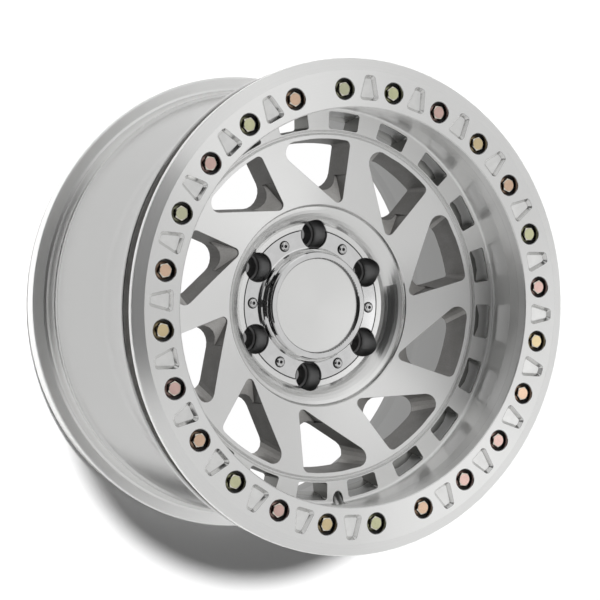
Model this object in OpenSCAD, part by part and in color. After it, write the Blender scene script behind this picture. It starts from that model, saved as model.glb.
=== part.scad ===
// Seventeen inch off-road car wheel with a bolted bead ring.
// The wheel lies on its inboard flange with its face up.
// Z = 0 is the hub mounting pad, the Z axis is the wheel's own axis, and +Y is the top of the face.
// Angles called "clock" run clockwise from +Y as seen from the front.

/* [Hub] */
// Diameter of the lug circle
lug_circle_d = 139.7; // [130:0.1:150]
// Number of lug holes and of cap screws
lug_count = 6; // [5:1:6]
// Diameter of the hole that a wheel stud passes through
lug_hole_d = 15; // [13:0.5:17]
// Diameter of the well that a lug nut drops into
lug_well_d = 28.6; // [27:0.2:30]
// Height of the lug seat above the mounting pad
lug_seat_z = 16; // [12:1:20]
// Diameter of the centre bore
hub_bore_d = 106.1; // [90:0.1:107]
// Step out to the wider mouth of the centre bore, which the cap's skirt fits
cap_bore_step = 1.05; // [0.6:0.05:1.5]
// Length of that mouth
cap_bore_len = 9; // [7:0.5:12]
// Land of the mounting pad outside the lug circle
pad_edge = 16.15; // [14:0.05:18]
// Height of the cap plate's seat above the mounting pad
cap_seat_z = 41; // [38:1:43]
// Width of the flat land round the cap plate
land_w = 5.6; // [4:0.2:7]
// Width of the turned hub dish, from the land to its outer edge
hub_dish_w = 18.1; // [15:0.1:19]
// Depth of the steep wall at the hub dish's outer edge
hub_dish_wall = 3.4; // [2:0.1:5]

/* [Spokes] */
// Height of the spoke face at the edge of the hub dish
face_inner_z = 61.4; // [59:0.2:64]
// Height of the spoke face at the groove round the windows
face_outer_z = 76.9; // [75:0.2:79]
// Thickness of the spokes, measured along the wheel's axis
spoke_t = 30; // [26:0.5:34]
// Number of windows between the spokes
window_count = 10; // [8:1:10]
// Clock angle of the first window's own centre line
window_clock = 11.7; // [0:0.1:36]
// Land between the windows' outer edge and the groove
window_edge = 4.2; // [3:0.1:8]
// How far that edge leans in from the face to the back
window_outer_lean = 3; // [0:0.1:6]
// Direction of the outward normal of a window's steep wall
steep_dir = -2.1; // [-6:0.1:2]
// Distance of the steep wall from the wheel's axis, at the face
steep_at = 22; // [19:0.1:23]
// How far the steep wall leans in from the face to the back
steep_lean = 3.4; // [1:0.1:5]
// Direction of the outward normal of a window's slanting wall
slant_dir = -124.6; // [-128:0.1:-121]
// How far inside the hub dish's edge the slanting wall passes, at the face
slant_inset = 4.7; // [2:0.1:6]
// How far the slanting wall leans in from the face to the back
slant_lean = 2.8; // [0:0.1:5]
// Corner radius between the outer edge and the steep wall, at the face
steep_corner_r = 5.8; // [5:0.1:8]
// Corner radius between the outer edge and the slanting wall, at the face
slant_corner_r = 10; // [8:0.1:12]
// The same corner radius at the back
slant_corner_back_r = 11.8; // [10:0.1:13]
// Corner radius between the two walls on the hub's side, at the face
hub_corner_r = 17.2; // [15:0.1:19]
// The same corner radius at the back
hub_corner_back_r = 15.6; // [13:0.1:17]
// Corner radius at the pointed tip of each window
tip_corner_r = 5; // [3:0.1:7]
// Depth below the face at which the step in the tip starts
tip_step_depth = 2; // [1:0.1:4]
// Slope of the step in the tip
tip_step_slope = 28; // [15:1:35]
// Land between the groove and the slots
groove_edge = 1.4; // [1.2:0.1:3]
// Width of the groove round the windows
groove_w = 3.8; // [2:0.1:4.4]
// Depth of the groove round the windows
groove_depth = 2.6; // [1:0.1:4]
// Number of slots in the band outside the windows
slot_count = 20; // [10:1:20]
// Land between the slots and the fillet of the dish wall
slot_edge = 1.4; // [1.2:0.1:4]
// Length of the slots along the radius
slot_len = 17; // [12:0.1:17.4]
// How far the slots' outer wall leans in from the face to the back
slot_lean = 6; // [3:0.1:8]
// Angle that each slot spans
slot_span = 10.7; // [8:0.1:12]
// Corner radius of the slots
slot_corner_r = 2.8; // [1:0.1:4]

/* [Barrel] */
// Radius of the bead seat at the inboard flange
seat_r = 219.6; // [205:0.1:234]
// Height of the inboard flange above the bead seat
flange_h = 15.2; // [13:0.1:17]
// Axial length of the barrel's end, from the flange's inner side to the end face
flange_len = 22; // [19:0.5:26]
// Distance from the mounting pad to the inner side of the inboard flange
seat_depth = 102; // [94:1:112]
// Height of the outboard bead flange above the bead seat
bead_flange_h = 13.2; // [11:0.1:15]
// Drop from the bead seat to the register that the outboard bead sits on
register_drop = 2.6; // [1.6:0.1:4]
// Gap between the outboard bead flange and the bead ring
bead_gap = 17.3; // [14:0.1:20]
// Drop from the bead seat to the drop well
well_drop = 19.6; // [17:0.1:22]
// Length of the drop well behind the mounting pad
well_back = 2; // [0:1:10]
// Wall of the barrel behind the spokes
barrel_wall = 6.6; // [5.8:0.1:7.4]
// Wall between the drop well and the dish in front of the spokes
dish_wall = 7; // [6.4:0.1:8]
// Radius of the fillet at the dish wall's foot
dish_fillet_r = 3; // [1:0.1:3.2]
// Step in from the dish wall to the dish's mouth
mouth_step = 3.4; // [2.6:0.1:4]
// Diameter of the valve hole
valve_d = 11.5; // [8.5:0.1:12]
// Clock angle of the valve hole
valve_clock = 189; // [180:0.5:196]
// Height above the slots' band at which the valve hole's axis meets the dish wall
valve_rise = 3.5; // [3:0.1:5]
// Tilt of the valve hole's axis from the wheel's own
valve_tilt = 52; // [48:1:56]
// Diameter of the spot face round the valve hole
valve_face_d = 15; // [13:0.5:16]

/* [Bead ring] */
// Height of the ring's face above the mounting pad
ring_face_z = 140; // [136:0.5:144]
// Thickness of the ring
ring_t = 12; // [11:0.5:14]
// Clock angle of the plain gap between two bolts at the top of the ring
ring_clock = 0; // [-3:0.1:3]
// Step in from the dish's mouth to the ring's opening
ring_lip = 1.1; // [0.5:0.1:2]
// How far the ring reaches past the outboard bead flange
ring_over = 2.4; // [1:0.1:4]
// Width of the outer bevel
bevel_w = 11.2; // [8:0.1:13]
// Drop of the outer bevel
bevel_drop = 4; // [2:0.1:4.5]
// Distance of the bolt circle inside the register
bolt_inset = 11.1; // [10:0.1:13]
// Number of ring bolts
bolt_count = 24; // [12:12:24]
// Diameter of the bolts' counterbores
counterbore_d = 20.4; // [19:0.1:21]
// Depth of the bolts' counterbores
counterbore_depth = 7.6; // [7:0.1:8.4]
// Chamfer at the mouth of each counterbore
counterbore_chamfer = 0.5; // [0.2:0.1:0.8]
// Distance of the pockets between the bolts from the ring's opening
pocket_inset = 7.1; // [6:0.1:9]
// Length of a pocket along the radius
pocket_len = 23.6; // [18:0.1:25]
// Width of a pocket at its inner end
pocket_in_w = 21.4; // [16:0.2:22]
// Width of a pocket at its outer end
pocket_out_w = 10.4; // [8:0.2:12]
// Depth of the pockets
pocket_depth = 3.6; // [2:0.1:4]
// How far a pocket's walls lean in over their depth
pocket_lean = 2.6; // [1:0.1:3]

/* [Ring bolts] */
// Thread diameter of the ring bolts
bolt_d = 8; // [7:0.5:8.5]
// Length of a ring bolt under its head
bolt_len = 22; // [18:1:24]
// Width across the flats of the hexagon
bolt_flats = 12; // [11:0.5:13]
// Diameter of the bolt's own flange
bolt_flange_d = 17; // [15:0.5:17.5]
// Thickness of the bolt's flange at its edge
bolt_flange_t = 1.2; // [1:0.1:2]
// Height of the bolt's head with its flange
bolt_head_h = 6.6; // [6:0.1:7.2]

/* [Centre cap] */
// Thickness of the cap's plate
cap_plate_t = 3; // [2.5:0.1:4]
// Width of the cap's plate round its boss
plate_w = 17.1; // [16:0.1:19]
// Gap between the cap plate and its recess
cap_gap = 0.4; // [0.3:0.1:0.8]
// How far the cap plate reaches over the lug wells
scallop_over = 0.3; // [0:0.05:0.6]
// Height of the cap's boss above its plate
boss_h = 15; // [12:0.5:18]
// Diameter of the boss at its foot
boss_foot_d = 114.6; // [110:0.2:116]
// How far the boss draws in from its foot to its top
boss_taper = 5.8; // [4:0.1:7]
// Height of the shoulder round the boss's foot
boss_shoulder_h = 5; // [4:0.1:6]
// How far the boss's side stands out from its rim
boss_waist = 1.4; // [0.8:0.1:1.8]
// Least step in from the rim's outer edge to the cap's hollow
rim_wall = 0.75; // [0.75:0.05:1.5]
// Width of the boss's rim round the sunk disc
rim_w = 5.5; // [4:0.1:7]
// Depth of the sunk disc below the boss's rim
disc_depth = 3.4; // [2:0.1:5]
// Wall of the cap
cap_wall = 3; // [2.5:0.1:3.6]
// Length of the skirt that reaches into the centre bore
skirt_len = 6; // [4:0.5:7]
// Gap between the skirt and the mouth of the centre bore
skirt_gap = 0.35; // [0.3:0.05:0.8]

/* [Cap screws] */
// Distance of the cap screws from the boss's foot
screw_inset = 7.8; // [6.4:0.1:9]
// Thread diameter of the cap screws
screw_d = 5; // [4:0.5:5.5]
// Diameter of a cap screw's round head
screw_head_d = 9.4; // [8.5:0.1:10]
// Height of a cap screw's round head
screw_head_h = 2.7; // [2.4:0.1:3]
// Width across the flats of the screw's socket
screw_socket = 3; // [2.5:0.5:3]
// Length of a cap screw under its head
screw_len = 14; // [10:1:18]

/* [Fits] */
// Radial clearance of a bolt or screw in the hole that it passes through
hole_clearance = 0.3; // [0.2:0.05:0.5]
// Radial clearance drawn between a thread and its tapped hole
thread_gap = 0.05; // [0.05:0.01:0.1]
// Extra depth of a tapped hole beyond the thread's end
tap_spare = 3; // [2:0.5:5]

/* [Hidden] */

$fn = 96;
big = 400;
ring_back_z = ring_face_z - ring_t;
bead_flange_z = ring_back_z - bead_gap;
land_z = cap_seat_z + cap_plate_t;

// Radii of the hub, from the centre bore out to the spokes
pad_r = lug_circle_d / 2 + pad_edge;
cap_bore_r = hub_bore_d / 2 + cap_bore_step;
boss_foot_r = boss_foot_d / 2;
plate_r = boss_foot_r + plate_w;
cap_seat_r = plate_r + cap_gap;
land_r = cap_seat_r + land_w;
hub_lip_r = land_r + hub_dish_w;

// Radii of the barrel and of the dish, from the bead seat in
flange_r = seat_r + flange_h;
bead_flange_r = seat_r + bead_flange_h;
register_r = seat_r - register_drop;
well_r = seat_r - well_drop;
barrel_in_r = well_r - barrel_wall;
dish_r = well_r - dish_wall;
mouth_r = dish_r - mouth_step;

// Radii of the slots, the groove and the windows, from the dish wall in
slot_out_r = dish_r - dish_fillet_r - slot_edge;
slot_in_r = slot_out_r - slot_len;
slot_back_r = slot_out_r - slot_lean;
groove_in_r = slot_in_r - groove_edge - groove_w;
window_outer_r = groove_in_r - window_edge;
slant_at = hub_lip_r - slant_inset;

// Radii of the bead ring
ring_in_r = mouth_r - ring_lip;
ring_out_r = bead_flange_r + ring_over;
bevel_in_r = ring_out_r - bevel_w;
bolt_circle_r = register_r - bolt_inset;
pocket_in_r = ring_in_r + pocket_inset;
pocket_out_r = pocket_in_r + pocket_len;

// Radii of the centre cap and the circle of its screws
boss_top_r = boss_foot_r - boss_taper;
disc_r = boss_top_r - rim_w;
skirt_r = cap_bore_r - skirt_gap;
screw_circle_r = boss_foot_r + screw_inset;

back_depth = seat_depth + flange_len;
face_slope = (face_outer_z - face_inner_z) / (groove_in_r - hub_lip_r);
band_z = face_outer_z + 0.5;
bolt_seat_z = ring_face_z - counterbore_depth;
bolt_pitch = 360 / bolt_count;
lug_pitch = 360 / lug_count;
lug_clock = 15;
cap_top_z = land_z + boss_h;
disc_z = cap_top_z - disc_depth;
bolt_spin_step = 37;

// Bearing of a window's steep corner, from the wheel's axis
steep_bearing = bearing(rim_corner(window_outer_r, steep_dir, steep_at, steep_corner_r, 1));

// Direction that the step in a window's tip slopes down to
step_dir = 119.4;

function two_digits(i) = i < 10 ? str("0", i) : str(i);
function polar(r, a) = [r * cos(a), r * sin(a)];
function face_z(r) = face_inner_z + face_slope * (r - hub_lip_r);
function back_z(r) = face_z(r) - spoke_t;

// Points of an arc from angle a to angle b in n steps
function arc(c, r, a, b, n = 6) = [for (i = [0:n]) [c[0], c[1]] + polar(r, a + (b - a) * i / n)];

// Brings angle b to within a turn above angle a
function above(a, b) = b < a ? above(a, b + 360) : (b > a + 360 ? above(a, b - 360) : b);

// Direction of a point, seen from the wheel's axis
function bearing(c) = atan2(c[1], c[0]);

// Corner circle [x, y, r] inside the circle of radius outer_r and the wall with its normal along dir
function rim_corner(outer_r, dir, at, r, side) =
    let (along = sqrt(pow(outer_r - r, 2) - pow(at - r, 2)))
    [
        (at - r) * cos(dir) - side * along * sin(dir),
        (at - r) * sin(dir) + side * along * cos(dir),
        r
    ];

// Corner circle of radius r between the steep and the slanting wall
function wall_corner(steep, slant, r) =
    let (
        turn = sin(slant_dir - steep_dir),
        a = steep - r,
        b = slant - r
    )
    [
        (a * sin(slant_dir) - b * sin(steep_dir)) / turn,
        (b * cos(steep_dir) - a * cos(slant_dir)) / turn,
        r
    ];

// Radius that a steep corner needs to keep the bearing b
function steep_radius(outer_r, at, b) =
    let (k = cos(b - steep_dir))
    (at - outer_r * k) / (1 - k);

// Outline of a window: its outer arc, its slanting corner, its hub corner and its steep corner
function window_outline(outer_r, steep, slant, last_b, r) =
    let (
        c_slant = rim_corner(outer_r, slant_dir, slant, r[1], -1),
        c_hub = wall_corner(steep, slant, r[2])
    )
    concat(
        arc([0, 0], outer_r, steep_bearing, last_b, 4),
        arc(c_slant, r[1], bearing(c_slant), slant_dir + 360, 6),
        arc(c_hub, r[2], slant_dir, steep_dir, 7),
        arc(rim_corner(outer_r, steep_dir, steep, r[0], 1), r[0], steep_dir, steep_bearing - 21, 3)
    );

// Places children made along +Y at a clock angle
module at_clock(a) {
    rotate([0, 0, -a]) children();
}

// Places children made along +X at a clock angle and radius
module on_circle(a, r) {
    rotate([0, 0, 90 - a]) translate([r, 0, 0]) children();
}

// A round stepped profile turned about the wheel's axis
module turned(points, fn = 180) {
    rotate_extrude($fn = fn) polygon(points);
}

// Section of the wheel's barrel, disc and hub as one outline
function wheel_section() = concat(
    front_section(),
    hub_section(),
    inside_section(),
    flange_section(),
    outside_section()
);

// From the ring's joint down the dish, over the slot band and along the spoke face
function front_section() = concat(
    [
        [mouth_r, ring_back_z],
        [mouth_r, bead_flange_z + 1],
        [mouth_r + 1, bead_flange_z - 1]
    ],
    arc([dish_r - dish_fillet_r, band_z + dish_fillet_r], dish_fillet_r, 0, -90),
    [
        [groove_in_r + groove_w, band_z],
        [groove_in_r + groove_w - 0.6, band_z - groove_depth + 0.6],
        [groove_in_r + groove_w - 1.2, band_z - groove_depth],
        [groove_in_r + 1, band_z - groove_depth],
        [groove_in_r + 0.4, face_outer_z - 0.8],
        [groove_in_r - 0.4, face_z(groove_in_r - 0.4)]
    ]
);

// The turned hub dish, the flat land, the cap's recess, the centre bore and the mounting pad
function hub_section() =
    let (
        wall_z = face_inner_z - hub_dish_wall,
        wall_r = hub_lip_r - 1,
        bore_r = hub_bore_d / 2
    )
    concat(
        [[hub_lip_r + 0.6, face_z(hub_lip_r + 0.6)]],
        [[hub_lip_r - 0.2, face_inner_z - 0.5]],
        [[wall_r, wall_z]],
        sag_line([wall_r - 0.6, wall_z - 1], [land_r, land_z], -1.6),
        [
            [cap_seat_r, land_z],
            [cap_seat_r, cap_seat_z],
            [cap_bore_r, cap_seat_z],
            [cap_bore_r, cap_seat_z - cap_bore_len],
            [bore_r, cap_seat_z - cap_bore_len - 1],
            [bore_r, 1.5],
            [bore_r + 1.5, 0],
            [pad_r - 2, 0],
            [pad_r, 2]
        ]
    );

// Points along a shallow curve from p to q that sags sideways by s in its middle
function sag_line(p, q, s, n = 6) =
    let (d = q - p, side = [-d[1], d[0]] / norm(d))
    [for (i = [0:n]) p + d * i / n + side * s * 4 * (i / n) * (1 - i / n)];

// The back of the hub and of the spokes, then the inside of the barrel down to its end
function inside_section() =
    let (
        hub_back_r = pad_r + 4,
        corner_z = back_z(barrel_in_r) + 1
    )
    concat(
        [
            [hub_back_r - 1, 18],
            [hub_back_r + 3, back_z(hub_back_r + 6) - 3],
            [hub_back_r + 8, back_z(hub_back_r + 8)]
        ],
        [[barrel_in_r - 7, back_z(barrel_in_r - 7)]],
        arc([barrel_in_r - 5, corner_z - 6.5], 5, 75, 0, 4),
        [
            [barrel_in_r, -well_back],
            [barrel_in_r + 0.8, -well_back - 8],
            [seat_r - 12.5, -seat_depth + 24],
            [seat_r - 9.5, -seat_depth + 10],
            [seat_r - 8.4, -seat_depth - 6],
            [seat_r - 7, -back_depth + 7]
        ],
        arc([seat_r - 2, -back_depth + 5], 5, 180, 270, 4)
    );

// The inboard flange: its end face, outer edge, inner side and bead seat
function flange_section() = concat(
    arc([flange_r - 6.6, -back_depth + 5], 5, -90, -8, 5),
    [
        [flange_r - 0.4, -seat_depth - 4]
    ],
    arc([flange_r - 2, -seat_depth - 2], 2, 0, 90, 4),
    [
        [seat_r + 3.6, -seat_depth],
        [seat_r + 1, -seat_depth + 1],
        [seat_r, -seat_depth + 3.6],
        [seat_r - 2, -seat_depth + 14.2],
        [seat_r - 2.8, -seat_depth + 14.6],
        [seat_r - 2.8, -seat_depth + 15.6],
        [seat_r - 2, -seat_depth + 16]
    ]
);

// The shoulder, the cone down to the drop well, the well and the outboard bead flange
function outside_section() = concat(
    arc([seat_r - 7, -seat_depth + 17], 5, 0, 40, 4),
    [
        [seat_r - 4.8, -seat_depth + 23.4],
        [well_r + 2.2, -well_back - 14],
        [well_r + 0.6, -well_back - 5],
        [well_r, -well_back + 4],
        [well_r, bead_flange_z - 26],
        [well_r + 1.4, bead_flange_z - 20],
        [well_r + 5, bead_flange_z - 14],
        [well_r + 12, bead_flange_z - 9.4],
        [bead_flange_r - 4, bead_flange_z - 7.6]
    ],
    arc([bead_flange_r - 2.2, bead_flange_z - 5.4], 2.2, -80, 0, 4),
    arc([bead_flange_r - 2.4, bead_flange_z - 2.4], 2.4, 0, 90, 4),
    [
        [register_r + 0.8, bead_flange_z],
        [register_r, bead_flange_z + 0.8],
        [register_r, ring_back_z - 0.8],
        [register_r - 0.8, ring_back_z]
    ]
);

// A window's opening through the disc, drawn in from the face to the back
module window_cut() {
    over = 0.25;
    back_r = window_outer_r - window_outer_lean;
    steep_back = steep_at - steep_lean;
    slant_back = -slant_at - slant_lean;
    last_b = bearing(rim_corner(back_r, slant_dir, slant_back, slant_corner_back_r, -1)) - 3;
    face_line = window_outline(
        window_outer_r, steep_at, -slant_at, last_b,
        [steep_corner_r, slant_corner_r, hub_corner_r]
    );
    back_line = window_outline(
        back_r, steep_back, slant_back, last_b,
        [steep_radius(back_r, steep_back, steep_bearing), slant_corner_back_r, hub_corner_back_r]
    );
    count = len(face_line);
    // Each wall line runs through a point of the face outline and its partner in the back outline
    top = [for (i = [0:count - 1]) wall_point(face_line[i], back_line[i], -over)];
    low = [for (i = [0:count - 1]) wall_point(face_line[i], back_line[i], 1 + over)];
    sides = [
        for (i = [0:count - 1]) let (j = (i + 1) % count)
            each [[i, j, j + count], [i, j + count, i + count]]
    ];
    polyhedron(
        points = concat(top, low),
        faces = concat([[for (i = [count - 1:-1:0]) i]], [[for (i = [0:count - 1]) i + count]], sides)
    );
}

// The point on the line from p on the face, where t is 0, to q on the back, where t is 1
function wall_point(p, q, t) =
    let (
        pz = face_z(p[1]),
        qz = back_z(q[1])
    )
    [p[0] + (q[0] - p[0]) * t, p[1] + (q[1] - p[1]) * t, pz + (qz - pz) * t];

// The sloping step in the tip of a window, open to the window itself
module window_tip_cut() {
    tip = wall_corner(steep_at, -slant_at, tip_corner_r);
    hub = wall_corner(steep_at, -slant_at, hub_corner_r);
    outline = concat(
        arc([tip[0], tip[1]], tip[2], slant_dir, steep_dir, 6),
        [[hub[0], hub[1]] + polar(hub[2], steep_dir)],
        [[hub[0], hub[1]]],
        [[hub[0], hub[1]] + polar(hub[2], slant_dir)]
    );
    start = [tip[0], tip[1]] - polar(tip_corner_r, step_dir);
    intersection() {
        linear_extrude(height = big) polygon(outline);
        translate([start[0], start[1], face_z(norm(start)) - tip_step_depth])
            rotate([0, 0, step_dir - 90]) rotate([-tip_step_slope, 0, 0])
            translate([-60, -20, 0]) cube([120, 80, 60]);
    }
}

// One slot of the outer band: radial sides, round corners and an outer wall that leans in
module slot_cut() {
    half = slot_span / 2;
    mid_r = (slot_in_r + slot_out_r) / 2;
    corner_a = slot_corner_r / mid_r * 180 / PI;
    side_a = half - corner_a;
    intersection() {
        linear_extrude(height = big) polygon(concat(
            arc([0, 0], slot_in_r, 90 - side_a, 90 + side_a, 2),
            corner(slot_in_r + slot_corner_r, side_a, 270, 180),
            corner(slot_out_r - slot_corner_r, side_a, 180, 90),
            arc([0, 0], slot_out_r, 90 + side_a, 90 - side_a, 2),
            corner(slot_out_r - slot_corner_r, -side_a, 90, 0),
            corner(slot_in_r + slot_corner_r, -side_a, 360, 270)
        ));
        turned([
            [slot_in_r - 10, back_z(slot_in_r) - 20],
            [slot_back_r, back_z(slot_in_r) - 20],
            [slot_back_r, back_z(slot_back_r)],
            [slot_out_r + 0.4, band_z],
            [slot_out_r + 0.4, band_z + 9],
            [slot_in_r - 10, band_z + 9]
        ]);
    }
}

// The three inner points of a slot's round corner, turned with the slot's side
function corner(r, side, a, b) =
    let (c = polar(r, 90 + side), turn = side)
    [for (i = [1:3]) c + polar(slot_corner_r, a + turn + (b - a) * i / 4)];

// A lug's well, its conical seat and the hole for the stud
module lug_cut() {
    well_r = lug_well_d / 2;
    hole_r = lug_hole_d / 2;
    seat_r = well_r - 2.2;
    rotate_extrude($fn = 64) polygon([
        [0, -1],
        [hole_r, -1],
        [hole_r, lug_seat_z - (seat_r - hole_r) * 1.2],
        [seat_r, lug_seat_z],
        [well_r, lug_seat_z + 0.6],
        [well_r, big],
        [0, big]
    ]);
}

// The valve hole with the spot face that its stem seals on
module valve_cut() {
    inset = 1.5;
    reach = 9;
    face_depth = 0.5;
    hole_len = 26;
    at_clock(valve_clock) translate([0, dish_r + inset, band_z + valve_rise])
        rotate([180 - valve_tilt, 0, 0]) {
            translate([0, 0, -reach]) cylinder(d = valve_face_d, h = reach + face_depth);
            translate([0, 0, -1]) cylinder(d = valve_d, h = hole_len);
        }
}

// The tapped hole that a ring bolt screws into
module ring_bolt_tap() {
    translate([0, 0, bolt_seat_z - bolt_len - tap_spare])
        cylinder(d = bolt_d + 2 * thread_gap, h = bolt_len + tap_spare + counterbore_depth, $fn = 32);
}

// The tapped hole that a cap screw screws into
module cap_screw_tap() {
    translate([0, 0, land_z - screw_len - tap_spare])
        cylinder(d = screw_d + 2 * thread_gap, h = screw_len + tap_spare, $fn = 32);
}

// The turned barrel, disc and hub with their drilled holes
module drilled_wheel() {
    difference() {
        turned(wheel_section(), 240);
        for (i = [0:lug_count - 1]) {
            on_circle(lug_clock + i * lug_pitch, lug_circle_d / 2) lug_cut();
            on_circle(lug_clock + (i + 0.5) * lug_pitch, screw_circle_r) cap_screw_tap();
        }
        for (i = [0:bolt_count - 1])
            on_circle(ring_clock + (i + 0.5) * bolt_pitch, bolt_circle_r) ring_bolt_tap();
        valve_cut();
    }
}

module wheel() color("lightgray") {
    difference() {
        difference() {
            drilled_wheel();
            for (i = [0:slot_count - 1]) at_clock(i * 360 / slot_count) slot_cut();
        }
        for (i = [0:window_count - 1]) at_clock(window_clock + i * 360 / window_count) {
            window_cut();
            window_tip_cut();
        }
    }
}

// Section of the bead ring, with three fine grooves in the face that clamps the bead
function ring_section() = concat(
    [
        [ring_in_r, ring_back_z],
        [ring_in_r, ring_face_z - 0.8],
        [ring_in_r + 0.8, ring_face_z],
        [bevel_in_r, ring_face_z],
        [ring_out_r - 1.6, ring_face_z - bevel_drop]
    ],
    arc([ring_out_r - 2, ring_face_z - bevel_drop - 2], 2, 60, 0, 4),
    [
        [ring_out_r, ring_back_z + 3],
        [ring_out_r - 1.5, ring_back_z + 1.5]
    ],
    [for (i = [3:-1:1]) each clamp_groove(register_r + 2 + i * 3.4)],
    [
        [register_r + 2, ring_back_z + 1.5],
        [register_r + 0.5, ring_back_z]
    ]
);

// One fine groove of the clamping face
function clamp_groove(r) = [
    [r + 0.8, ring_back_z + 1.5],
    [r, ring_back_z + 2.2],
    [r - 0.8, ring_back_z + 1.5]
];

// Outline of a pocket, narrowed on every side by s
function pocket_outline(s) =
    let (
        y0 = pocket_in_r + s,
        y1 = pocket_out_r - s,
        lean = atan2((pocket_in_w - pocket_out_w) / 2, pocket_out_r - pocket_in_r),
        x0 = pocket_in_w / 2 - s / cos(lean) - s * tan(lean),
        x1 = pocket_out_w / 2 - s / cos(lean) + s * tan(lean),
        r = 3.4 - s * 0.6
    )
    concat(
        rounded([-x0, y0], [x0, y0], [x1, y1], r),
        rounded([x0, y0], [x1, y1], [-x1, y1], r),
        rounded([x1, y1], [-x1, y1], [-x0, y0], r),
        rounded([-x1, y1], [-x0, y0], [x0, y0], r)
    );

// A round corner of radius r at q, between the sides from p and to s
function rounded(p, q, s, r, n = 4) =
    let (
        u = (p - q) / norm(p - q),
        v = (s - q) / norm(s - q),
        half = acos(u * v) / 2,
        c = q + (u + v) / norm(u + v) * r / sin(half),
        first = bearing(q + u * r / tan(half) - c),
        last = above(first, bearing(q + v * r / tan(half) - c))
    )
    arc(c, r, first, last, n);

// A pocket between two bolts, with walls that lean in to its floor
module pocket_cut() {
    over = 1;
    spread = pocket_lean / pocket_depth;
    top = pocket_outline(-over * spread);
    low = pocket_outline(pocket_lean);
    count = len(top);
    sides = [
        for (i = [0:count - 1]) let (j = (i + 1) % count)
            each [[i, i + count, j + count], [i, j + count, j]]
    ];
    polyhedron(
        points = concat(
            [for (p = low) [p[0], p[1], ring_face_z - pocket_depth]],
            [for (p = top) [p[0], p[1], ring_face_z + over]]
        ),
        faces = concat([[for (i = [0:count - 1]) i]], [[for (i = [count - 1:-1:0]) i + count]], sides)
    );
}

// A bolt's hole through the ring, with its counterbore and chamfer
module ring_bolt_hole() {
    bore_r = counterbore_d / 2;
    through_r = bolt_d / 2 + hole_clearance;
    rotate_extrude($fn = 48) polygon([
        [0, ring_back_z - 1],
        [through_r, ring_back_z - 1],
        [through_r, bolt_seat_z],
        [bore_r, bolt_seat_z],
        [bore_r, ring_face_z - counterbore_chamfer],
        [bore_r + counterbore_chamfer + 1, ring_face_z + 1],
        [0, ring_face_z + 1]
    ]);
}

module beadlock_ring() color("gainsboro") {
    // The two gaps that carry no pocket face up and down
    plain = [0, bolt_count / 2];
    difference() {
        turned(ring_section(), 240);
        for (i = [0:bolt_count - 1]) {
            on_circle(ring_clock + (i + 0.5) * bolt_pitch, bolt_circle_r) ring_bolt_hole();
            if (i != plain[0] && i != plain[1]) at_clock(ring_clock + i * bolt_pitch) pocket_cut();
        }
    }
}

// A hexagon bolt with its own round flange, drawn with its seat at height zero
module flange_bolt(spin) {
    flats_r = bolt_flats / 2;
    points_r = flats_r / cos(30);
    flange_r = bolt_flange_d / 2;
    cone_h = 1.3;
    tip = 1;
    union() {
        rotate_extrude($fn = 48) polygon([
            [0, -bolt_len],
            [bolt_d / 2 - tip, -bolt_len],
            [bolt_d / 2, -bolt_len + tip],
            [bolt_d / 2, 0],
            [flange_r, 0],
            [flange_r, bolt_flange_t],
            [flats_r, bolt_flange_t + cone_h],
            [0, bolt_flange_t + cone_h]
        ]);
        intersection() {
            rotate([0, 0, spin]) cylinder(r = points_r, h = bolt_head_h, $fn = 6);
            rotate_extrude($fn = 48) polygon([
                [0, 0],
                [points_r + 1, 0],
                [points_r + 1, bolt_head_h - 1.4],
                [flats_r * 0.92, bolt_head_h],
                [0, bolt_head_h]
            ]);
        }
    }
}

module ring_bolt(i) color("tan") {
    on_circle(ring_clock + (i - 0.5) * bolt_pitch, bolt_circle_r)
        translate([0, 0, bolt_seat_z]) flange_bolt(bolt_spin_step * i);
}

// Outline of the cap's plate, scalloped round the lug wells
module cap_plate_outline() {
    offset(r = 0.9, $fn = 24) offset(delta = -0.9) difference() {
        circle(r = plate_r, $fn = 180);
        for (i = [0:lug_count - 1]) on_circle(lug_clock + i * lug_pitch, lug_circle_d / 2)
            circle(d = lug_well_d - 2 * scallop_over, $fn = 48);
    }
}

// Outer shape of the cap's boss, from its fillet on the plate up to its rim and down to the sunk disc
function boss_outside() =
    let (
        neck_r = boss_top_r + boss_waist,
        shoulder_z = land_z + boss_shoulder_h
    )
    [
        [boss_foot_r, land_z],
        [boss_foot_r - 1.2, land_z + 0.5],
        [boss_foot_r - 1.9, land_z + 1.8],
        [boss_foot_r - 2.2, shoulder_z - 0.6],
        [neck_r + 0.8, shoulder_z + 0.6],
        [neck_r, shoulder_z + 1.2],
        [neck_r - 0.2, cap_top_z - 1.6],
        [boss_top_r + 0.6, cap_top_z - 0.5],
        [boss_top_r - 0.4, cap_top_z],
        [disc_r + 0.8, cap_top_z],
        [disc_r, cap_top_z - 0.8],
        [disc_r, disc_z],
        [disc_r - 1.6, disc_z]
    ];

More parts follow.
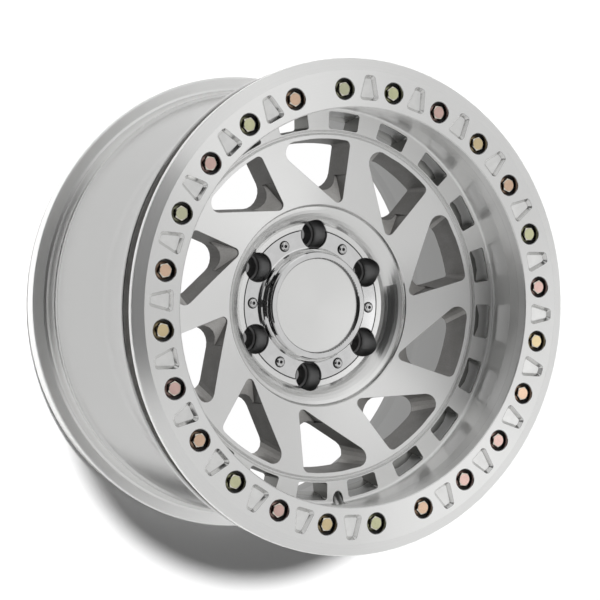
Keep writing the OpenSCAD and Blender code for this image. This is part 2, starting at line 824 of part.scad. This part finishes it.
module centre_cap() color("silver") {
    hollow_r = min(skirt_r - cap_wall, boss_top_r - rim_wall);
    difference() {
        union() {
            translate([0, 0, cap_seat_z]) linear_extrude(height = cap_plate_t) cap_plate_outline();
            turned(concat(
                boss_outside(),
                [[0, disc_z], [0, land_z - 0.5], [boss_foot_r, land_z - 0.5]]
            ), 180);
            translate([0, 0, cap_seat_z - skirt_len]) cylinder(r = skirt_r, h = skirt_len + 1, $fn = 180);
        }
        turned([
            [0, cap_seat_z - skirt_len - 1],
            [hollow_r, cap_seat_z - skirt_len - 1],
            [hollow_r, disc_z - cap_wall - 3],
            [hollow_r - 3, disc_z - cap_wall],
            [0, disc_z - cap_wall]
        ], 180);
        for (i = [0:lug_count - 1]) on_circle(lug_clock + (i + 0.5) * lug_pitch, screw_circle_r)
            translate([0, 0, cap_seat_z - 1])
            cylinder(d = screw_d + 2 * hole_clearance, h = cap_plate_t + 2, $fn = 32);
    }
}

// A round-headed socket screw, drawn with its seat at height zero
module button_screw() {
    head_r = screw_head_d / 2;
    socket_r = screw_socket / 2 / cos(30);
    difference() {
        rotate_extrude($fn = 48) polygon(concat(
            [
                [0, -screw_len],
                [screw_d / 2 - 0.8, -screw_len],
                [screw_d / 2, -screw_len + 0.8],
                [screw_d / 2, 0],
                [head_r, 0],
                [head_r, 0.5]
            ],
            [for (a = [15:15:60]) [head_r * cos(a * 0.9), 0.5 + (screw_head_h - 0.5) * sin(a) / sin(60)]],
            [[0, screw_head_h]]
        ));
        translate([0, 0, screw_head_h - 1.8]) cylinder(r = socket_r, h = 4, $fn = 6);
    }
}

module cap_screw(i) color("whitesmoke") {
    on_circle(lug_clock + (i - 0.5) * lug_pitch, screw_circle_r)
        translate([0, 0, land_z]) rotate([0, 0, 23 * i]) button_screw();
}

wheel();
beadlock_ring();
centre_cap();
for (i = [1:bolt_count]) ring_bolt(i);
for (i = [1:lug_count]) cap_screw(i);
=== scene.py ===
"""Dresses the car wheel: turned and cast aluminium, plated bolts, a chromed cap, floor, lamps and camera.

The wheel lies on its inboard flange, so the floor is level with that flange's end. Lengths are in metres.
"""
import math

import bpy
from mathutils import Matrix, Vector


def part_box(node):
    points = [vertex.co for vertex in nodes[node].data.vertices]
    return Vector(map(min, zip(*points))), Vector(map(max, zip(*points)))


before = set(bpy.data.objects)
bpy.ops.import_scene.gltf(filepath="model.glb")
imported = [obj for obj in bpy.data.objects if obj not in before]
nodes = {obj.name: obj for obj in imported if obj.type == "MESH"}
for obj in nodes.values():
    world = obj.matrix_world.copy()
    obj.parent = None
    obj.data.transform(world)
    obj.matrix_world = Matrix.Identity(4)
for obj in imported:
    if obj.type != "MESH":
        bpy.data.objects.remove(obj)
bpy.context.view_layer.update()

MM = 0.001

# Heights above the mounting pad, and how fast the spoke face rises outwards
FLOOR_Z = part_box("wheel")[0].z
RING_BACK_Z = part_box("beadlock_ring")[0].z
RING_FACE_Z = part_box("beadlock_ring")[1].z
SCREW_TOP_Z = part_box("cap_screw_1")[1].z
BOLT_TOP_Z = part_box("ring_bolt_01")[1].z
BEAD_FLANGE_Z = RING_BACK_Z - 17.3 * MM
DISC_TOP_Z = 77.4 * MM
SPOKE_EDGE_Z = 61.4 * MM
SPOKE_SLOPE = 0.2283
LAND_Z = 44 * MM
CAP_SEAT_Z = 41 * MM
# Radii from the wheel's axis
OPEN_BACK_R = 217.6 * MM
REGISTER_R = 217 * MM
BOLT_CIRCLE_R = 205.9 * MM
GROOVE_R = 166.4 * MM
HUB_DISH_R = 98.5 * MM
CAP_SEAT_R = 74.8 * MM
LUG_CIRCLE_R = 69.85 * MM
SCREW_CIRCLE_R = 65.1 * MM
CAP_DISC_R = 46 * MM
# Radii of round holes from their own axes
LUG_WELL_R = 14.3 * MM
COUNTERBORE_R = 10.2 * MM
SOCKET_R = 1.8 * MM
# Clock angles, in degrees from +Y, of the first lug well, ring bolt and cap screw
LUG_CLOCK, BOLT_CLOCK, SCREW_CLOCK = 15, 7.5, 45

# Borders between finishes
POCKET_LOW_Z = RING_FACE_Z - 4 * MM
FACE_LOW_Z = 60 * MM
TIP_STEP_LOW_Z = 50 * MM
CAP_RAISED_Z = LAND_Z + 5 * MM
INNER_BARREL_TOP_Z = 48 * MM
SLOT_LOW_Z = 30 * MM
DISC_LOW_Z = 20 * MM
FLANGE_EDGE_Z = -84 * MM
POCKET_IN_R, POCKET_OUT_R = 195 * MM, 222 * MM
INNER_BARREL_R = 189 * MM
BACK_EDGE_R = 150 * MM
CAP_SKIRT_R = 54 * MM
SCREW_RIM_R = 4.3 * MM
# The middle of the barrel's wall, and how fast it widens below its waist
BARREL_MID_R = 196.5 * MM
BARREL_WAIST_Z = -10 * MM
BARREL_SLOPE = 0.2
# Reach of the painted shade at an edge, width of the dark joint line and painted shade round the cap's
# plate, and the ring of painted shadow round each screw
EDGE_SHADE_R = 0.9 * MM
CAP_JOINT_SHADE_W = 1.1 * MM
SCREW_SHADE_IN_R, SCREW_SHADE_OUT_R = 4.4 * MM, 5.5 * MM

# Camera: where it stands, what it looks at, its roll and its lens, before the studio is turned to the wheel
CAMERA_AT = (-0.9698, 0.1698, 1.8006)
CAMERA_AIM = (-0.02995, 0.00979, 0.077)
CAMERA_ROLL = -5.91
CAMERA_LENS = 122.82
STUDIO_TURN = Matrix.Rotation(math.radians(-5.66), 4, "Z")
FLOOR_HALF = 8.0
# World light, as metal mirrors it and as it fills the shade
WORLD_GLOSS, WORLD_FILL = 0.7, 0.1
# Cards over the studio: their heights, and their corners as slopes from the wheel
DARK_CARD_HEIGHT = 2.2
DARK_CARD = [(0.05, -0.30), (-2.6, -0.30), (-2.6, 2.6), (-1.75, 2.3), (0.0, 0.42)]
SOFT_BOX_HEIGHT = 2.1
SOFT_BOX = [(0.6, -1.0), (1.7, -1.0), (1.7, 0.0), (0.6, -0.1)]
# Light of the dark card, from its far edge to the edge over the wheel, and of the soft box
DARK_CARD_FADE = [(0.58, 0.02), (0.72, 0.03), (0.82, 0.4), (1.0, 0.68)]
SOFT_BOX_LIGHT = 1.25
# Lamps: where each stands, its power, and its width, in metres or as an angle in degrees
KEY_LIGHT_AT, KEY_LIGHT_POWER, KEY_LIGHT_SIZE = (0.9, 1.2, 2.4), 2.0, 1.8
SHADOW_LIGHT_AT, SHADOW_LIGHT_POWER, SHADOW_LIGHT_ANGLE = (-0.22, 0.66, 2.4), 3.3, 6

# Zinc plating's tints, and the tint of each ring bolt in turn
ZINC = {
    "green": (0.6, 0.6, 0.42),
    "gold": (0.74, 0.6, 0.36),
    "pink": (0.72, 0.5, 0.45),
    "orange": (0.78, 0.55, 0.4),
    "lime": (0.66, 0.66, 0.42),
}
BOLT_TINTS = (
    "green lime pink gold orange lime pink gold orange pink pink orange "
    "lime gold pink lime orange pink gold orange green pink lime orange"
).split()


class Nodes:
    """A short way to build one node tree."""

    def __init__(self, tree):
        self.tree = tree
        tree.nodes.clear()

    def add(self, kind, **values):
        """A node of that kind, with its settings by a leading _, and its inputs set or linked.

        An input goes by its name, with __ for a space, or by i and its number.
        """
        node = self.tree.nodes.new(kind)
        for key, value in values.items():
            if key.startswith("_"):
                setattr(node, key[1:], value)
        for key, value in values.items():
            if not key.startswith("_"):
                self.set(node, key, value)
        return node

    def set(self, node, key, value):
        name = key.replace("__", " ")
        socket = node.inputs[int(name[1:])] if name[0] == "i" and name[1:].isdigit() else node.inputs[name]
        if isinstance(value, bpy.types.NodeSocket):
            self.tree.links.new(value, socket)
        else:
            socket.default_value = value

    def math(self, operation, *values, clamp=False):
        node = self.add("ShaderNodeMath", _operation=operation, _use_clamp=clamp)
        for number, value in enumerate(values):
            self.set(node, f"i{number}", value)
        return node.outputs[0]

    def product(self, first, *others):
        for other in others:
            first = self.math("MULTIPLY", first, other)
        return first

    def scaled(self, colour, factor):
        node = self.add("ShaderNodeVectorMath", _operation="SCALE", i0=colour, Scale=factor)
        return node.outputs[0]

    def ramp(self, value, stops):
        """A colour ramp through stops of (position, grey or colour)."""
        node = self.add("ShaderNodeValToRGB", Fac=value)
        elements = node.color_ramp.elements
        while len(elements) < len(stops):
            elements.new(0.5)
        for element, (at, colour) in zip(elements, stops):
            element.position = at
            element.color = (colour, colour, colour, 1) if isinstance(colour, (int, float)) else (*colour, 1)
        return node.outputs["Color"]

    def mix(self, factor, a, b):
        """Mixes colour a, a socket, with colour b by factor."""
        node = self.add("ShaderNodeMix", _data_type="RGBA", i0=factor, i6=a, i7=(*b, 1))
        return node.outputs[2]

    def noise(self, position, scale, detail):
        node = self.add("ShaderNodeTexNoise", Vector=position, Scale=scale, Detail=detail)
        return node.outputs["Fac"]

    def position(self):
        return self.add("ShaderNodeTexCoord").outputs["Object"]

    def axis(self, position, name):
        return self.add("ShaderNodeSeparateXYZ", Vector=position).outputs[name]

    def radius(self, position):
        """Distance of a point from the wheel's axis."""
        flat = self.add("ShaderNodeVectorMath", _operation="MULTIPLY", i0=position, i1=(1, 1, 0))
        length = self.add("ShaderNodeVectorMath", _operation="LENGTH", i0=flat.outputs[0])
        return length.outputs["Value"]

    def hole_distance(self, position, circle_r, first_clock):
        """Distance of a point from the nearest of six holes on a circle round the axis."""
        angle = self.math("ARCTAN2", self.axis(position, "X"), self.axis(position, "Y"))
        from_first = self.math("SUBTRACT", angle, math.radians(first_clock))
        offset = self.math("WRAP", from_first, math.pi / 6, -math.pi / 6)
        radius = self.radius(position)
        across = self.math("MULTIPLY", radius, self.math("SINE", offset))
        along = self.math("SUBTRACT", self.math("MULTIPLY", radius, self.math("COSINE", offset)), circle_r)
        return self.math("SQRT", self.math("ADD", self.product(across, across), self.product(along, along)))

    def painted_edge_shade(self, depth):
        """How much light a surface keeps near its sharp edges, where a fine line of painted shade sits."""
        bent = self.add("ShaderNodeBevel", _samples=4, Radius=EDGE_SHADE_R)
        true = self.add("ShaderNodeNewGeometry")
        normals = {"i0": bent.outputs[0], "i1": true.outputs["Normal"]}
        dot = self.add("ShaderNodeVectorMath", _operation="DOT_PRODUCT", **normals)
        bend = self.math("SUBTRACT", 0.985, dot.outputs["Value"])
        near_edge = self.math("MULTIPLY", bend, 8.0, clamp=True)
        return self.math("SUBTRACT", 1.0, self.math("MULTIPLY", near_edge, depth))

    def finish(self, shader):
        self.add("ShaderNodeOutputMaterial", Surface=shader.outputs[0])

    def metal(self, colour, roughness, metallic=1.0, **values):
        """Ends the tree with a metal shader."""
        look = {"Base__Color": colour, "Roughness": roughness, "Metallic": metallic}
        self.finish(self.add("ShaderNodeBsdfPrincipled", **look, **values))


def new_material(name):
    material = bpy.data.materials.new(name)
    material.use_nodes = True
    return material, Nodes(material.node_tree)


def turned_metal(name, tone, roughness, anisotropy, lines=0.04, pitch=0.9 * MM):
    """Aluminium cut on a lathe: fine rings round the axis, which spread its gloss across them."""
    material, n = new_material(name)
    position = n.position()
    along = n.math("ADD", n.radius(position), n.axis(position, "Z"))
    rings = n.add(
        "ShaderNodeTexNoise", _noise_dimensions="1D", W=along, Scale=1 / pitch, Detail=3.0, Roughness=0.6
    ).outputs["Fac"]
    shade = n.math("MULTIPLY_ADD", rings, lines, 1 - lines / 2)
    cloud = n.math("MULTIPLY_ADD", n.noise(position, 14.0, 2.0), 0.03, 0.985)
    # Darkened near sharp edges by painted shade.
    colour = n.scaled((tone, tone, tone * 0.99), n.product(shade, cloud, n.painted_edge_shade(0.55)))
    bump = n.add("ShaderNodeBump", Height=rings, Strength=0.02, Distance=0.05 * MM)
    tangent = n.add("ShaderNodeTangent", _direction_type="RADIAL", _axis="Z")
    n.metal(
        colour, roughness, Anisotropic=anisotropy, Anisotropic__Rotation=0.25,
        Tangent=tangent.outputs[0], Normal=bump.outputs[0],
    )
    return material


def cast_metal(name, tone, roughness=0.6, grain=0.3, metallic=0.55):
    """Bare cast aluminium: dull, a little warm and slightly mottled."""
    material, n = new_material(name)
    position = n.position()
    fine = n.noise(position, 900.0, 4.0)
    mottle = n.product(fine, n.noise(position, 45.0, 3.0))
    dark = (tone * 0.8, tone * 0.78, tone * 0.75)
    light = (tone * 1.15, tone * 1.13, tone * 1.1)
    # Darkened near sharp edges by painted shade.
    colour = n.scaled(n.ramp(mottle, [(0.1, dark), (0.45, light)]), n.painted_edge_shade(0.85))
    bump = n.add("ShaderNodeBump", Height=fine, Strength=grain, Distance=0.12 * MM)
    n.metal(colour, roughness, metallic, Normal=bump.outputs[0])
    return material


def plated(name, colour, roughness=0.12, wear=0.06):
    """Bright plating with faint smears in its gloss."""
    material, n = new_material(name)
    smear = n.noise(n.position(), 120.0, 3.0)
    dark = tuple(c * 0.92 for c in colour)
    # Darkened near sharp edges by painted shade.
    shade = n.scaled(n.ramp(smear, [(0.35, dark), (0.65, colour)]), n.painted_edge_shade(0.6))
    n.metal(shade, n.math("MULTIPLY_ADD", smear, wear, roughness - wear / 2))
    return material


def plated_grey(name, tone, roughness=0.12, wear=0.06):
    return plated(name, (tone, tone, tone), roughness, wear)


def bore_metal():
    """The wall of a counterbore: painted light at its mouth, fading to painted shade lower down."""
    material, n = new_material("bore_aluminium")
    depth = n.math("SUBTRACT", RING_FACE_Z, n.axis(n.position(), "Z"))
    centimetres = n.math("MULTIPLY", depth, 100.0)
    n.metal(n.ramp(centimetres, [(0.0, 0.62), (0.2, 0.5), (0.32, 0.12), (1.0, 0.06)]), 0.22)
    return material


def cap_chrome():
    """Chrome with a dark joint line, deepened by painted shade, round the plate and the lug wells, and a
    ring of painted shadow round each screw.
    """
    material, n = new_material("cap_chrome")
    position = n.position()
    rim = n.math("GREATER_THAN", n.radius(position), CAP_SEAT_R - CAP_JOINT_SHADE_W)
    well = n.hole_distance(position, LUG_CIRCLE_R, LUG_CLOCK)
    wells = n.math("LESS_THAN", well, LUG_WELL_R + 0.5 * MM)
    screw = n.hole_distance(position, SCREW_CIRCLE_R, SCREW_CLOCK)
    within = n.math("LESS_THAN", screw, SCREW_SHADE_OUT_R)
    beyond = n.math("GREATER_THAN", screw, SCREW_SHADE_IN_R)
    # Dark joint line and painted shade at the plate's rim and the lug wells, and painted shadow round each
    # screw.
    joint_and_shade = n.math("MAXIMUM", n.math("MAXIMUM", rim, wells), n.product(within, beyond))
    smear = n.noise(position, 120.0, 3.0)
    chrome = n.ramp(smear, [(0.35, 0.76), (0.65, 0.8)])
    n.metal(n.mix(joint_and_shade, chrome, (0.06, 0.06, 0.06)), n.math("MULTIPLY_ADD", smear, 0.02, 0.06))
    return material


def plain_floor():
    """A white floor that keeps the wheel's shadow, and glows under the wheel as if its back stood open."""
    material, n = new_material("floor_white")
    inside = n.math("LESS_THAN", n.radius(n.position()), OPEN_BACK_R)
    path = n.add("ShaderNodeLightPath").outputs
    seen = n.math("MAXIMUM", path["Is Camera Ray"], path["Is Glossy Ray"])
    seen = n.math("MAXIMUM", seen, path["Is Transmission Ray"])
    paint = n.add("ShaderNodeBsdfDiffuse", Color=(0.95, 0.95, 0.95, 1))
    glow = n.add("ShaderNodeEmission", Color=(1, 1, 1, 1), Strength=n.math("MULTIPLY_ADD", seen, 0.75, 0.25))
    n.finish(n.add("ShaderNodeMixShader", i0=inside, i1=paint.outputs[0], i2=glow.outputs[0]))
    return material


def studio_world():
    """Even white light all round, which the camera sees as plain white."""
    world = bpy.data.worlds.new("studio")
    world.use_nodes = True
    bpy.context.scene.world = world
    n = Nodes(world.node_tree)

    def background(tone):
        return n.add("ShaderNodeBackground", Color=(tone, tone, tone, 1), Strength=1.0).outputs[0]

    path = n.add("ShaderNodeLightPath").outputs
    gloss, fill, white = background(WORLD_GLOSS), background(WORLD_FILL), background(1.0)
    lit = n.add("ShaderNodeMixShader", i0=path["Is Diffuse Ray"], i1=gloss, i2=fill)
    both = n.add("ShaderNodeMixShader", i0=path["Is Camera Ray"], i1=lit.outputs[0], i2=white)
    n.add("ShaderNodeOutputWorld", Surface=both.outputs[0])


def link(obj):
    bpy.context.scene.collection.objects.link(obj)
    return obj


def polygon_object(name, corners, material):
    mesh = bpy.data.meshes.new(name)
    mesh.from_pydata(corners, [], [list(range(len(corners)))])
    mesh.materials.append(material)
    return link(bpy.data.objects.new(name, mesh))


def build_floor():
    corners = [(x * FLOOR_HALF, y * FLOOR_HALF, FLOOR_Z) for x, y in ((-1, -1), (1, -1), (1, 1), (-1, 1))]
    polygon_object("floor", corners, plain_floor())


def overhead_card(name, height, slopes, strength):
    """A card over the studio that only bright metal mirrors; strength builds its light in its node tree."""
    material, n = new_material(name)
    n.finish(n.add("ShaderNodeEmission", Color=(1, 1, 1, 1), Strength=strength(n)))
    corners = [STUDIO_TURN @ Vector((x * height, y * height, height)) for x, y in slopes]
    card = polygon_object(name, corners, material)
    card.visible_camera = False
    card.visible_diffuse = False
    card.visible_shadow = False


def dark_card_light(n):
    """The dark card's light, which grows towards its edge over the wheel."""
    across = n.math("MULTIPLY_ADD", n.axis(n.position(), "X"), 1 / DARK_CARD_HEIGHT, 1.0)
    return n.ramp(across, DARK_CARD_FADE)


def build_cards():
    """The unlit end of the studio, behind the camera, and the long soft box on its other side."""
    overhead_card("dark_card", DARK_CARD_HEIGHT, DARK_CARD, dark_card_light)
    overhead_card("soft_box", SOFT_BOX_HEIGHT, SOFT_BOX, lambda n: SOFT_BOX_LIGHT)


def aimed_lamp(name, kind, at, power):
    """A lamp that points at the wheel."""
    data = bpy.data.lights.new(name, kind)
    data.energy = power
    lamp = link(bpy.data.objects.new(name, data))
    lamp.location = at
    lamp.rotation_euler = (-Vector(at)).to_track_quat("-Z", "Y").to_euler()
    return lamp


def build_lamps():
    """A faint broad lamp, and a distant one that casts the wheel's shadow, unseen in the metal's gloss."""
    key = aimed_lamp("key_light", "AREA", KEY_LIGHT_AT, KEY_LIGHT_POWER)
    key.data.size = KEY_LIGHT_SIZE
    shadow = aimed_lamp("shadow_light", "SUN", SHADOW_LIGHT_AT, SHADOW_LIGHT_POWER)
    shadow.data.angle = math.radians(SHADOW_LIGHT_ANGLE)
    shadow.visible_glossy = False


def build_camera():
    data = bpy.data.cameras.new("camera")
    data.lens = CAMERA_LENS
    data.sensor_width = 36.0
    camera = link(bpy.data.objects.new("camera", data))
    back = (Vector(CAMERA_AT) - Vector(CAMERA_AIM)).normalized()
    right = Vector((0, 1, 0)).cross(back).normalized()
    up = back.cross(right)
    turn = Matrix((right, up, back)).transposed() @ Matrix.Rotation(math.radians(CAMERA_ROLL), 3, "Z")
    camera.matrix_world = STUDIO_TURN @ Matrix.Translation(CAMERA_AT) @ turn.to_4x4()
    bpy.context.scene.camera = camera


def around(radius, count, first_clock):
    """Centres of a circle of holes, by their clock angle from +Y."""
    angles = [math.radians(first_clock + i * 360 / count) for i in range(count)]
    return [(radius * math.sin(a), radius * math.cos(a)) for a in angles]


def nearest(x, y, centres):
    """Distance of a point from the nearest of those centres."""
    return min(math.hypot(x - cx, y - cy) for cx, cy in centres)


LUG_WELLS = around(LUG_CIRCLE_R, 6, LUG_CLOCK)
RING_BOLTS = around(BOLT_CIRCLE_R, 24, BOLT_CLOCK)
CAP_SCREWS = around(SCREW_CIRCLE_R, 6, SCREW_CLOCK)


def dress_faces(node, finishes, finish_of):
    """Gives a node several materials, and each facet the one that finish_of names.

    finish_of takes the facet's centre and the height of its normal: 1 faces up, and 0 is upright.
    """
    node.data.materials.clear()
    for material in finishes.values():
        node.data.materials.append(material)
    names = list(finishes)
    for face in node.data.polygons:
        face.material_index = names.index(finish_of(*face.center, face.normal.z))


def wheel_finish(x, y, z, nz):
    """Which finish a facet of the wheel has."""
    r = math.hypot(x, y)
    upright = abs(nz) < 0.3
    faces_up = nz > 0.2
    spoke_z = SPOKE_EDGE_Z + SPOKE_SLOPE * (r - HUB_DISH_R)
    if r > REGISTER_R and abs(z - BEAD_FLANGE_Z) < 0.5 * MM and nz > 0.9:
        return "knurled"
    if 1 * MM < z < LAND_Z - 0.2 * MM and nearest(x, y, LUG_WELLS) < LUG_WELL_R + 0.3 * MM:
        return "lug_well"
    if r > BARREL_MID_R + BARREL_SLOPE * max(0.0, BARREL_WAIST_Z - z):
        return "flange" if z < FLANGE_EDGE_Z else "outer"
    if z > DISC_TOP_Z + 0.2 * MM:
        return "dish"
    if upright and r > INNER_BARREL_R and z < INNER_BARREL_TOP_Z:
        return "inner"
    if upright and z > CAP_SEAT_Z - 1 * MM and abs(r - CAP_SEAT_R) < 0.3 * MM:
        return "gap"
    if faces_up and z > CAP_SEAT_Z - 1 * MM and r < HUB_DISH_R + 1 * MM:
        return "hub_dish"
    if faces_up and z > FACE_LOW_Z and (r > GROOVE_R - 1 * MM or z > spoke_z - 0.6 * MM):
        return "turned"
    if r > GROOVE_R and z > SLOT_LOW_Z and abs(nz) < 0.6:
        return "slot"
    if faces_up and z > TIP_STEP_LOW_Z:
        return "tip_step"
    if z > DISC_LOW_Z and r > HUB_DISH_R - 6 * MM:
        return "cast"
    if r > BACK_EDGE_R:
        return "inner"
    return "cast" if z > 0 else "turned"


def dress_wheel():
    dress_faces(nodes["wheel"], {
        "turned": turned_metal("turned_aluminium", 0.86, 0.36, 0.93),
        "dish": turned_metal("dish_aluminium", 0.84, 0.3, 0.86, lines=0.05),
        "hub_dish": turned_metal("hub_aluminium", 0.84, 0.2, 0.85),
        "outer": turned_metal("barrel_aluminium", 0.47, 0.2, 0.6, lines=0.06, pitch=1.2 * MM),
        "flange": turned_metal("flange_aluminium", 0.86, 0.32, 0.3, lines=0.05),
        "inner": turned_metal("inner_aluminium", 0.36, 0.5, 0.6, lines=0.08, pitch=1.6 * MM),
        "cast": cast_metal("cast_aluminium", 0.27),
        "slot": plated("milled_aluminium", (0.26, 0.26, 0.25), roughness=0.36, wear=0.1),
        "tip_step": cast_metal("cast_tip", 0.5, roughness=0.45, grain=0.1, metallic=0.8),
        "lug_well": plated_grey("drilled_aluminium", 0.26, roughness=0.42, wear=0.1),
        "gap": plated_grey("joint_dark", 0.03, roughness=0.5),
        # Knurled clamp face with its grain, also darkened as painted shade under the ring.
        "knurled": cast_metal("knurled_aluminium", 0.3, roughness=0.45, grain=0.8, metallic=0.9),
    }, wheel_finish)


def ring_finish(x, y, z, nz):
    """Which finish a facet of the bead ring has: dark bores, bright pockets, and turned faces."""
    r = math.hypot(x, y)
    in_bore = nearest(x, y, RING_BOLTS) < COUNTERBORE_R + 0.8 * MM
    if in_bore and RING_BACK_Z + 1 * MM < z < RING_FACE_Z - 0.05 * MM:
        return "bore"
    if z > POCKET_LOW_Z and POCKET_IN_R < r < POCKET_OUT_R:
        if 0.02 < nz < 0.98:
            return "pocket"
        if z < RING_FACE_Z - 0.5 * MM:
            return "pocket_floor"
    return "turned"


def dress_ring():
    dress_faces(nodes["beadlock_ring"], {
        "turned": turned_metal("ring_aluminium", 0.87, 0.34, 0.93),
        "bore": bore_metal(),
        "pocket": plated("pocket_aluminium", (0.8, 0.8, 0.79), roughness=0.18, wear=0.03),
        "pocket_floor": plated("pocket_floor_aluminium", (0.8, 0.8, 0.79), roughness=0.3, wear=0.02),
    }, ring_finish)


def cap_finish(x, y, z, nz):
    """Which finish a facet of the centre cap has: its edge, the line round its disc, the disc, or chrome."""
    r = math.hypot(x, y)
    on_boss = z > CAP_RAISED_Z
    if abs(nz) < 0.3 and z < LAND_Z and r > CAP_SKIRT_R:
        return "edge"
    if on_boss and abs(nz) < 0.8 and r < CAP_DISC_R + 0.5 * MM:
        return "line"
    return "disc" if on_boss and nz > 0.95 and r < CAP_DISC_R else "chrome"


def dress_cap():
    dress_faces(nodes["centre_cap"], {
        "chrome": cap_chrome(),
        "disc": turned_metal("cap_disc", 0.8, 0.24, 0.2, lines=0.03, pitch=0.5 * MM),
        "edge": plated_grey("cap_edge", 0.05, roughness=0.4),
        "line": plated_grey("cap_groove", 0.2, roughness=0.25),
    }, cap_finish)


def bolt_finish(x, y, z, nz):
    """The flat top of a bolt's head is tinted, its chamfer carries a painted highlight, and the rest is
    darkened with painted shade.
    """
    if nz < 0.3 or z < BOLT_TOP_Z - 1.5 * MM:
        return "side"
    return "top" if nz > 0.99 else "chamfer"


def dress_bolts():
    """Yellow zinc plating, whose film turns each bolt a different tint."""
    tops = {name: plated("zinc_" + name, colour, roughness=0.16) for name, colour in ZINC.items()}
    # The sides and lower head in painted shade, darker than the tinted tops.
    shaded_sides = {
        name: plated("zinc_shaded_side_" + name, [c * 0.6 for c in colour], roughness=0.26)
        for name, colour in ZINC.items()
    }
    # A pale painted highlight on each chamfer.
    chamfer = plated("zinc_painted_highlight", (0.84, 0.8, 0.7), roughness=0.2)
    for number, tint in enumerate(BOLT_TINTS, start=1):
        finishes = {"top": tops[tint], "side": shaded_sides[tint], "chamfer": chamfer}
        dress_faces(nodes[f"ring_bolt_{number:02d}"], finishes, bolt_finish)


def screw_finish(x, y, z, nz):
    """Bright steel, with painted shade in the socket and round the edge under the round head."""
    r = nearest(x, y, CAP_SCREWS)
    if r < SOCKET_R and (abs(nz) < 0.3 or z < SCREW_TOP_Z - 1 * MM):
        return "socket"
    return "socket" if r > SCREW_RIM_R and nz < 0.6 else "steel"


def dress_screws():
    finishes = {
        "steel": plated_grey("screw_steel", 0.72, roughness=0.15),
        # Painted shade in the socket and under the head's edge.
        "socket": plated_grey("steel_painted_shade", 0.12, roughness=0.3),
    }
    for number in range(1, 7):
        dress_faces(nodes[f"cap_screw_{number}"], finishes, screw_finish)


studio_world()
build_floor()
build_cards()
build_lamps()
build_camera()

dress_wheel()
dress_ring()
dress_cap()
dress_bolts()
dress_screws()

bpy.context.scene.view_settings.view_transform = "Standard"
